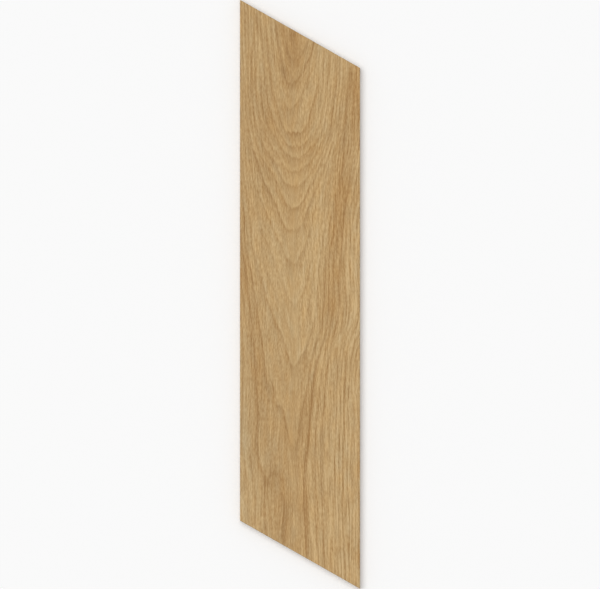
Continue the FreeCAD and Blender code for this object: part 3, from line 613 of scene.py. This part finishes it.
def fibres(run, seed, length, width=0, even=0):
    """Noise drawn out along the grain, even where its lines keep a regular gap."""
    noise = np.random.default_rng(seed).standard_normal(GRID_X.shape)
    if width:
        fine = blurred_across(noise, width)
        noise = fine - even * blurred_across(noise, 2.2 * width) if even else fine
    total = noise.copy()
    for way in (1, -1):
        x, y = GRID_X.copy(), GRID_Y.copy()
        for k in range(1, length + 1):
            dx, dy = look_up(run[0], x, y), look_up(run[1], x, y)
            x += way * dx
            y += way * dy
            total += (0.5 + 0.5 * math.cos(math.pi * k / (length + 1))) * look_up(noise, x, y)
    total -= total.mean()
    return total / total.std()


def broad_noise(seed, cell=14.0):
    """Smooth blotches three times as long as they are wide."""
    size = (int(STEPS_LONG / cell / 3) + 3, int(STEPS_WIDE / cell) + 3)
    cells = np.random.default_rng(seed).standard_normal(size)
    return between_cells(cells, GRID_X / cell, GRID_Y / cell / 3, smooth=True)


def growth_rings(field, gap, strengths):
    """Each wide ring starts dark and fades outwards; narrow ones are even dark and pale lines."""
    ring = np.clip(np.floor(field).astype(int), 0, len(strengths) - 2)
    past = np.clip(field - ring, 0, 1)
    table = np.array(strengths)
    fade = np.minimum(0.3, RING_FADE / gap)
    dark = np.exp(-past / fade) * ease(past / np.minimum(0.15, RING_SETS_IN / gap))
    pale = np.exp((past - 1) / fade)
    wide = RING_PALE * pale * table[ring + 1] - dark * table[ring]
    strength = table[ring] + past * (table[ring + 1] - table[ring])
    narrow = -NARROW_TONE * strength * np.cos(2 * math.pi * (past - 0.08))
    return wide + share(gap, WIDE_GAP, NARROW_GAP) * (narrow - wide)


def all_rings(ragged):
    """The growth rings, with a fainter line half way between two, calmer where they are wide."""
    numbers = ring_numbers()
    down, over = np.gradient(numbers, 1.0, COLUMN_GAP)
    gap = 1 / np.maximum(np.hypot(down, over), 1e-3)
    field = look_up(numbers, GRID_X, GRID_Y + RING_SHAKE * ragged)
    field += RING_DRIFT * broad_noise(DRIFT_SEED) * np.clip(3 / gap, 0.3, 1)
    rings = RING_TONE * growth_rings(field, gap, RING_STRENGTHS) * share(gap, 1.2, 3.2)
    halves = np.random.default_rng(HALF_RING_SEED).uniform(0.55, 1.3, 2 * len(RING_STRENGTHS))
    rings += HALF_RING_TONE * growth_rings(2 * field, gap / 2, halves) * share(gap, 3.5, 6.5)
    return np.clip((40 - gap) / 20, 0.6, 1) * (1 + soft_patches(RING_CHANGES)) * rings


def fibre_numbers(run, settle=0.02):
    """A number that stays nearly the same along each fibre: its place in the top row."""
    lean = run[0] / run[1]
    number = GRID_X.copy()
    for j in range(1, len(ROWS)):
        before = COLUMNS - lean[j]
        row = np.interp(before, COLUMNS, number[j - 1])
        row += before - np.clip(before, COLUMNS[0], COLUMNS[-1])
        number[j] = row + settle * (COLUMNS - row)
    return number


def oak_print():
    """Values of the print over the drawing grid: its tone, its warmth, and its fibres."""
    lines = [curve_through(line) for _, *line in GROWTH_LINES]
    lines += [curve_through(line) for _, _, *line in DARK_STREAKS + LIGHT_STREAKS]
    run = grain_run(lines)
    ragged = fibres(run, RAGGED_SEED, 16, 0.35)
    tone = soft_patches(SHADES) + all_streaks(ragged) + all_rings(ragged)
    for amount, seed, length, width, even in FIBRE_LAYERS:
        tone += amount * fibres(run, seed, length, width, even)
    warmth = WARM_PATCHES * soft_patches(WARMTH) + WARM_FIBRES * fibres(run, WARMTH_SEED, 12, 1.4)
    return {
        "tone": tone - tone.mean(),
        "warmth": warmth - warmth.mean(),
        "fibre": STEP * fibre_numbers(run),
        "lines": 1 + soft_patches(LINE_STRENGTHS),
    }


def middle_at(x):
    """The height along Y of the middle of the tile, half way between its ends, at x."""
    return (LOW[1] + HIGH[1]) / 2 - SLANT * (x - (LOW[0] + HIGH[0]) / 2)


def slanted(across, along, inset):
    """Places on the tile's outline drawn in by inset, with across and along from -1 to 1."""
    x = (LOW[0] + HIGH[0]) / 2 + across * (WIDTH / 2 - inset)
    half = (LENGTH - WIDTH * SLANT) / 2 - inset * math.hypot(1, SLANT)
    return x, middle_at(x) + along * half


def rim(columns, rows):
    """Columns and rows of the mesh points round the face, anticlockwise from the lower left."""
    right = [(i, 0) for i in range(columns)]
    up = [(columns, j) for j in range(rows)]
    left = [(i, rows) for i in range(columns, 0, -1)]
    down = [(0, j) for j in range(rows, 0, -1)]
    return right + up + left + down


def face_quads(columns, rows):
    """The squares between the face's mesh points."""
    wide = columns + 1
    starts = [j * wide + i for j in range(rows) for i in range(columns)]
    return [(k, k + 1, k + wide + 1, k + wide) for k in starts]


def pressed_face(tone):
    """The face's points, row by row, and the places of the drawing under them."""
    across, along = np.meshgrid(
        np.linspace(-1, 1, FACE_COLUMNS + 1), np.linspace(-1, 1, FACE_ROWS + 1)
    )
    x, y = slanted(across, along, BEVEL)
    place = (x - LOW[0]) / STEP, (HIGH[1] - y) / STEP
    pressed = np.clip(0.5 - PRESSED_BY_TONE * look_up(tone, *place), 0, 1)
    z = HIGH[2] - RELIEF * pressed
    return np.column_stack([x.ravel(), y.ravel(), z.ravel()]), place


def bevel_foot(border):
    """The lower edge of the bevel, ground a little unevenly, one point to each rim point."""
    depth = np.random.default_rng(BEVEL_SEED).uniform(0, 1, len(border))
    depth = BEVEL + BEVEL_UNEVEN * (depth + np.roll(depth, 1) + np.roll(depth, 2)) / 3
    points = []
    for (i, j), deep in zip(border, depth):
        x, y = slanted(2 * i / FACE_COLUMNS - 1, 2 * j / FACE_ROWS - 1, 0)
        points.append((x, y, HIGH[2] - deep))
    return points


def side_fans(foot, corners):
    """Triangles of the four sides, from each bottom corner to the half of the foot beside it."""
    turns = np.cumsum([0, FACE_COLUMNS, FACE_ROWS, FACE_COLUMNS, FACE_ROWS])
    faces, kinds = [], []
    for side, (start, stop) in enumerate(zip(turns, turns[1:])):
        a, b = corners[side], corners[(side + 1) % 4]
        ring = [foot[k % len(foot)] for k in range(start, stop + 1)]
        half = len(ring) // 2
        fan = [(a if k < half else b, ring[k + 1], ring[k]) for k in range(len(ring) - 1)]
        fan.append((a, b, ring[half]))
        faces += fan
        kinds += [SIDES[side]] * len(fan)
    return faces, kinds


def keyed_back():
    """Points and faces of the back, copied from the solid."""
    solid = frame["nodes"][NODE].data
    points = [tuple(vertex.co) for vertex in solid.vertices]
    faces = [tuple(face.vertices) for face in solid.polygons]
    return points, [f for f in faces if all(points[k][2] < BACK_DEPTH for k in f)]


def tile_parts(tone):
    """Points and faces of the tile, what each face is, and where the drawing meets its points."""
    top, place = pressed_face(tone)
    points = top.tolist()
    faces = face_quads(FACE_COLUMNS, FACE_ROWS)
    kinds = [FACE] * len(faces)
    border = rim(FACE_COLUMNS, FACE_ROWS)
    inner = [j * (FACE_COLUMNS + 1) + i for i, j in border]
    foot = list(range(len(points), len(points) + len(border)))
    points += bevel_foot(border)
    bevel = list(zip(inner, foot, foot[1:] + foot[:1], inner[1:] + inner[:1]))
    faces += bevel
    kinds += [RIM] * len(bevel)
    corners = list(range(len(points), len(points) + 4))
    points += [(*slanted(a, b, 0), LOW[2]) for a, b in ((-1, -1), (1, -1), (1, 1), (-1, 1))]
    fans, fan_kinds = side_fans(foot, corners)
    faces += fans
    kinds += fan_kinds
    back_points, back_faces = keyed_back()
    faces += [tuple(k + len(points) for k in face) for face in back_faces]
    points += back_points
    kinds += [BACK] * len(back_faces)
    return points, faces, kinds, place, inner


def bake_map(mesh, kinds):
    """A flat map of the tile for baking: the face and bevel, the back, and the four sides."""
    kinds = np.repeat(kinds, [len(face.vertices) for face in mesh.polygons])
    loops = np.empty(len(mesh.loops), int)
    mesh.loops.foreach_get("vertex_index", loops)
    points = np.empty(3 * len(mesh.vertices))
    mesh.vertices.foreach_get("co", points)
    x, y, z = points.reshape(-1, 3)[loops].T
    across = (x - LOW[0]) / WIDTH
    along = 0.5 + (y - middle_at(x)) / (LENGTH - WIDTH * SLANT)
    up = (z - LOW[2]) / THICKNESS
    u = np.zeros(len(loops))
    v = np.zeros(len(loops))
    for kind, (start, length, level, height) in MAP_PLACES.items():
        here = kinds == kind
        runs = across if kind in SLANTED_SIDES else along
        climbs = up if kind in SIDES else across
        u[here] = start + length * runs[here]
        v[here] = level + height * climbs[here]
    layer = mesh.uv_layers.new(name="OFBake")
    layer.data.foreach_set("uv", np.column_stack([u, v]).ravel())


def close_seams(mesh):
    """Join the back to the sides, and drop the copied points that no face uses."""
    shell = bmesh.new()
    shell.from_mesh(mesh)
    loose = [vertex for vertex in shell.verts if not vertex.link_faces]
    bmesh.ops.delete(shell, geom=loose, context="VERTS")
    low = [vertex for vertex in shell.verts if vertex.co.z < BACK_DEPTH]
    bmesh.ops.remove_doubles(shell, verts=low, dist=SEAM)
    shell.to_mesh(mesh)
    shell.free()


def make_tile(drawing):
    """The tile as one closed mesh that carries the print's values on its points."""
    points, faces, kinds, place, inner = tile_parts(drawing["tone"])
    mesh = bpy.data.meshes.new("porcelain_tile")
    mesh.from_pydata(points, [], faces)
    mesh.polygons.foreach_set("material_index", [MATERIAL_OF[kind] for kind in kinds])
    values = {name: look_up(grid, *place).ravel() for name, grid in drawing.items()}
    values = {name: np.append(value, value[inner]) for name, value in values.items()}
    values["wear"] = np.append(np.zeros(place[0].size), np.ones(len(inner)))
    for name, value in values.items():
        layer = mesh.attributes.new(name, "FLOAT", "POINT")
        layer.data.foreach_set("value", np.append(value, np.zeros(len(points) - len(value))))
    bake_map(mesh, kinds)
    close_seams(mesh)
    mesh.shade_smooth()
    mesh.set_sharp_from_angle(angle=math.radians(SHARP_ANGLE))
    return placed("porcelain_tile", mesh)


def placed(name, data):
    """A new object in the scene, at the origin."""
    item = bpy.data.objects.new(name, data)
    bpy.context.scene.collection.objects.link(item)
    return item


def node_maker(owner):
    """A shorthand for adding nodes, with their settings and inputs, to an emptied node tree."""
    owner.use_nodes = True
    tree = owner.node_tree
    tree.nodes.clear()

    def add(kind, inputs=None, **settings):
        node = tree.nodes.new("ShaderNode" + kind)
        for key, value in settings.items():
            setattr(node, key, value)
        for key, value in (inputs or {}).items():
            if isinstance(value, bpy.types.NodeSocket):
                tree.links.new(value, node.inputs[key])
            else:
                node.inputs[key].default_value = value
        return node

    return add


def noise(add, waves, detail=2.0, rough=0.5, place=None):
    """Noise on the object's own coordinates, or on others, with its waves per metre each way."""
    place = place or add("TexCoord").outputs["Object"]
    spread = add("Mapping", {"Vector": place, "Scale": waves}).outputs["Vector"]
    inputs = {"Vector": spread, "Scale": 1.0, "Detail": detail, "Roughness": rough}
    return add("TexNoise", inputs).outputs["Fac"]


def between(add, value, before, after):
    """A value carried from one range to another, and held at its ends."""
    inputs = {"Value": value, "From Min": before[0], "From Max": before[1],
              "To Min": after[0], "To Max": after[1]}
    return add("MapRange", inputs).outputs["Result"]


def combined(add, operation, first, second):
    """Two values added, multiplied or compared."""
    return add("Math", {0: first, 1: second}, operation=operation).outputs[0]


def ramp(add, factor, stops):
    """Colours in 0 to 255 steps at places from 0 to 1, mixed between them."""
    node = add("ValToRGB", {"Fac": factor})
    elements = node.color_ramp.elements
    for k, (place, colour) in enumerate(stops):
        element = elements[k] if k < 2 else elements.new(place)
        element.position = place
        element.color = srgb(*colour)
    return node.outputs["Color"]


def mixed(add, factor, first, second):
    """Two colours mixed by a factor."""
    return add("MixRGB", {"Fac": factor, "Color1": first, "Color2": second}).outputs["Color"]


def attribute(add, name):
    """A value that the mesh carries on its points."""
    return add("Attribute", attribute_name=name).outputs["Fac"]


def position(add, axis):
    """One of the object's own coordinates."""
    return add("SeparateXYZ", {"Vector": add("TexCoord").outputs["Object"]}).outputs[axis]


def bumped(add, height, strength, distance):
    """The surface's direction over small bumps."""
    inputs = {"Height": height, "Strength": strength, "Distance": distance}
    return add("Bump", inputs).outputs["Normal"]


def surface(name, look):
    """A material whose surface shader gets its inputs from one of the functions below."""
    material = bpy.data.materials.new(name)
    add = node_maker(material)
    shader = add("BsdfPrincipled", look(add))
    add("OutputMaterial", {"Surface": shader.outputs["BSDF"]})
    return material


def printed_glaze(add):
    """Matt glaze: the oak print from the mesh, with finer fibres, pores and a soft sheen."""
    grain = add("CombineXYZ", {"X": attribute(add, "fibre"), "Y": position(add, "Y")}).outputs["Vector"]
    hairs = noise(add, HAIR_WAVES, detail=1.0, rough=0.7, place=grain)
    flecks = noise(add, FLECK_WAVES, detail=1.0, place=grain)
    hair_tone = between(add, hairs, (0.32, 0.68), (-HAIR_TONE, HAIR_TONE))
    tone = attribute(add, "tone")
    for value in (
        combined(add, "MULTIPLY", hair_tone, attribute(add, "lines")),
        between(add, flecks, (0.25, 0.75), (-FLECK_TONE, FLECK_TONE)),
        between(add, attribute(add, "wear"), (0, 1), (0, WEAR_TONE)),
    ):
        tone = combined(add, "ADD", tone, value)
    level = between(add, tone, (-TONE_REACH, TONE_REACH), (0, 1))
    oak = ramp(add, level, [(0.5 + t / TONE_REACH / 2, colour) for t, colour in OAK])
    tint = add("VectorMath", {0: attribute(add, "warmth"), 1: WARM_TINT, 2: (1, 1, 1)},
               operation="MULTIPLY_ADD").outputs[0]
    return {
        "Base Color": add("VectorMath", {0: oak, 1: tint}, operation="MULTIPLY").outputs[0],
        "Roughness": between(add, hairs, (0.3, 0.7), (0.6, 0.46)),
        "Specular IOR Level": 0.25,
        "Normal": bumped(add, tone, 0.3, 0.02 * MM),
    }


def fired_body(add):
    """Colour of the bare body: fine buff, sand and brown grains."""
    grains = noise(add, (1500, 1500, 1500), detail=3.0, rough=0.75)
    clouds = noise(add, (40, 40, 40))
    clouded = between(add, clouds, (0.35, 0.7), (0, 0.35))
    return mixed(add, clouded, ramp(add, grains, BODY), srgb(*CLOUD))


def ground_edge(add):
    """Ground side of the tile: bare body with grinding lines, and the glaze's own thin line."""
    lines = noise(add, (25, 25, 7000), detail=2.0, rough=0.7)
    body = mixed(add, between(add, lines, (0.35, 0.75), (0, 0.3)), fired_body(add), srgb(*GRINDING))
    wave = between(add, noise(add, (90, 90, 1)), (0, 1), (-ENGOBE_WAVE, ENGOBE_WAVE))
    level = combined(add, "ADD", position(add, "Z"), wave)
    engobe = between(add, level, (ENGOBE_FOOT, ENGOBE_FOOT + ENGOBE_EDGE), (0, 1))
    return {
        "Base Color": mixed(add, engobe, body, srgb(*ENGOBE)),
        "Roughness": between(add, lines, (0.3, 0.7), (0.75, 0.6)),
        "Specular IOR Level": 0.3,
        "Normal": bumped(add, lines, 0.35, 0.03 * MM),
    }


def pressed_back(add):
    """Keyed back: bare body, with the pale kiln wash smeared over its ribs and border."""
    smear = noise(add, (160, 22, 160), detail=4.0, rough=0.65)
    patch = between(add, smear, (0.4, 0.62), (0, 0.75))
    on_ribs = between(add, position(add, "Z"), (0, RIB_HEIGHT), (1, 0.12))
    wash = combined(add, "MULTIPLY", patch, on_ribs)
    bumps = noise(add, (900, 900, 900), detail=3.0, rough=0.6)
    return {
        "Base Color": mixed(add, wash, fired_body(add), srgb(*KILN_WASH)),
        "Roughness": between(add, bumps, (0.3, 0.7), (0.9, 0.75)),
        "Specular IOR Level": 0.25,
        "Normal": bumped(add, bumps, 0.5, 0.06 * MM),
    }


def plain_floor(add):
    """Matt and even, with no shine."""
    return {"Base Color": FLOOR_COLOUR, "Roughness": 0.9, "Specular IOR Level": 0.0}


def pale_floor():
    """A plain pale floor, just under the tile."""
    mesh = bpy.data.meshes.new("floor")
    half = FLOOR_WIDTH / 2
    corners = [(-half, -half), (half, -half), (half, half), (-half, half)]
    mesh.from_pydata([(x, y, LOW[2] - FLOOR_GAP) for x, y in corners], [], [(0, 1, 2, 3)])
    mesh.materials.append(surface("floor", plain_floor))
    return placed("floor", mesh)


def soft_light():
    """Even light from all round, a pale backdrop, and a broad soft sun from the upper left."""
    world = bpy.data.worlds.new("studio")
    add = node_maker(world)
    rays = add("LightPath").outputs
    seen = rays["Is Camera Ray"]
    for name in ("Is Glossy Ray", "Is Transmission Ray"):
        seen = combined(add, "MAXIMUM", seen, rays[name])
    light = add("Background", {"Color": WORLD_COLOUR, "Strength": WORLD_LIGHT}).outputs[0]
    backdrop = add("Background", {"Color": BACKDROP_COLOUR}).outputs[0]
    choice = add("MixShader", {0: seen, 1: light, 2: backdrop}).outputs[0]
    add("OutputWorld", {"Surface": choice})
    bpy.context.scene.world = world
    sun = bpy.data.lights.new("sun", "SUN")
    sun.energy = SUN_LIGHT
    sun.angle = math.radians(SUN_SPREAD)
    placed("sun", sun).rotation_euler = [math.radians(tilt) for tilt in SUN_TILT]


def overhead_camera():
    """The view straight down on the tile, at the picture's scale."""
    camera = bpy.data.cameras.new("camera")
    camera.type = "ORTHO"
    camera.ortho_scale = PICTURE_WIDE * STEP
    lens = placed("camera", camera)
    right = PICTURE_WIDE / 2 - TILE_MIDDLE[0]
    down = PICTURE_HIGH / 2 - TILE_MIDDLE[1]
    lens.location = (right * STEP, -down * STEP, CAMERA_HEIGHT)
    bpy.context.scene.camera = lens


tile = make_tile(oak_print())
for name, look in (
    ("printed_glaze", printed_glaze),
    ("ground_edge", ground_edge),
    ("pressed_back", pressed_back),
):
    tile.data.materials.append(surface(name, look))
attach(tile, "root")
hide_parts(NODE)
pale_floor()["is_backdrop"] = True
soft_light()
overhead_camera()
bpy.context.scene.view_settings.view_transform = "Standard"

boxes = {"cad": CAD_BOX, "visual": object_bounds()}
boxes = {name: [list(map(float, corner)) for corner in box] for name, box in boxes.items()}
